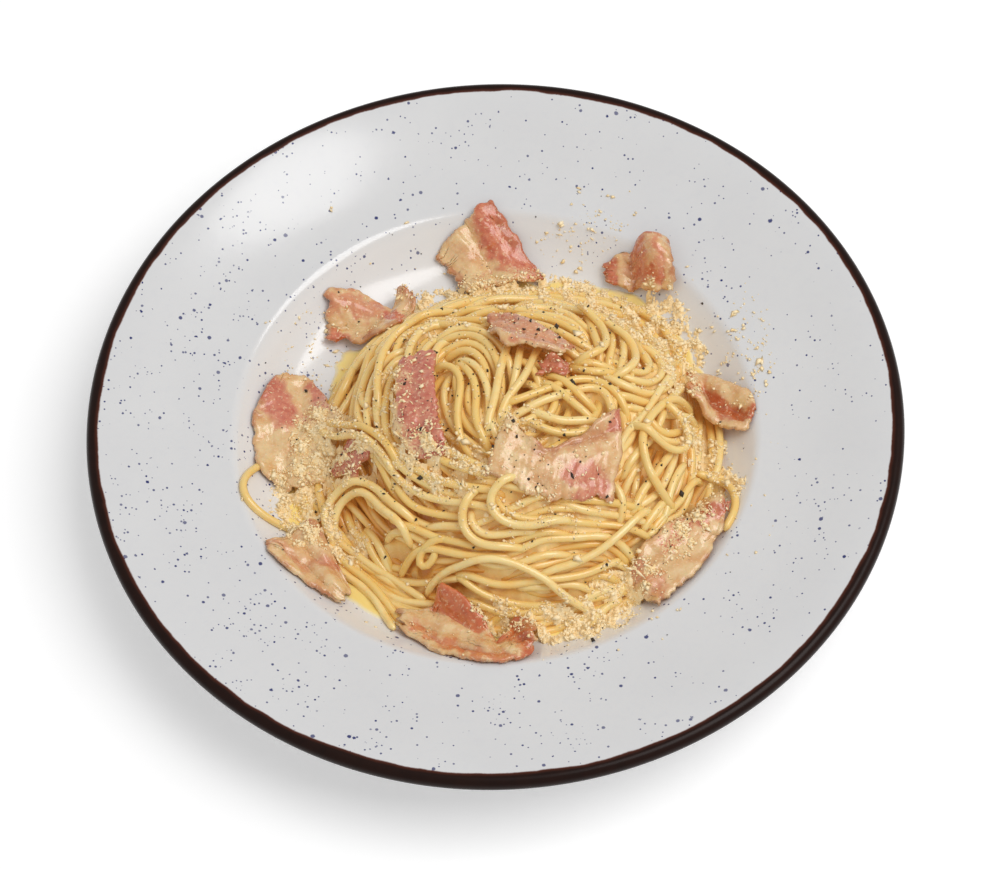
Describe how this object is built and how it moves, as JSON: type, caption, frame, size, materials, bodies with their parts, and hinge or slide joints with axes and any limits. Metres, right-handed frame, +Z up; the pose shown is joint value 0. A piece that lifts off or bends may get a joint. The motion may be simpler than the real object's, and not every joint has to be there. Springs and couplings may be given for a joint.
{
  "type": "spaghetti carbonara on a pasta plate",
  "caption": "Heap of creamy spaghetti with fried bacon, grated cheese and black pepper in the well of a wide-rimmed speckled stoneware plate with a dark lip.",
  "frame": {"origin": "centre of the plate's foot ring, on the table", "axes": "+Z up, -Y towards the diner, +X to the diner's right"},
  "size_m": [0.27, 0.27, 0.0531],
  "materials": {
    "glazed_stoneware": "glossy white glaze with cobalt-blue speckle and a glossy dark brown lip",
    "spaghetti": "cooked pasta, wet with a thin yellow egg and cheese sauce",
    "bacon": "fried streaky bacon, pink-red lean with pale fat, greasy sheen",
    "sauce": "glossy thin egg-yolk sauce",
    "cheese": "finely grated hard cheese, partly melted",
    "pepper": "coarsely ground black pepper"
  },
  "bodies": {
    "root": {"plate": "glazed_stoneware", "spaghetti": "spaghetti", "bacon_back": "bacon", "bacon_back_right": "bacon", "bacon_left_back": "bacon", "bacon_left": "bacon", "bacon_crown": "bacon", "bacon_crown_under": "bacon", "bacon_top_left": "bacon", "bacon_top_front": "bacon", "bacon_right": "bacon", "bacon_right_front": "bacon", "bacon_front": "bacon", "bacon_left_front": "bacon", "bacon_left_tucked": "bacon"}
  },
  "joints": []
}
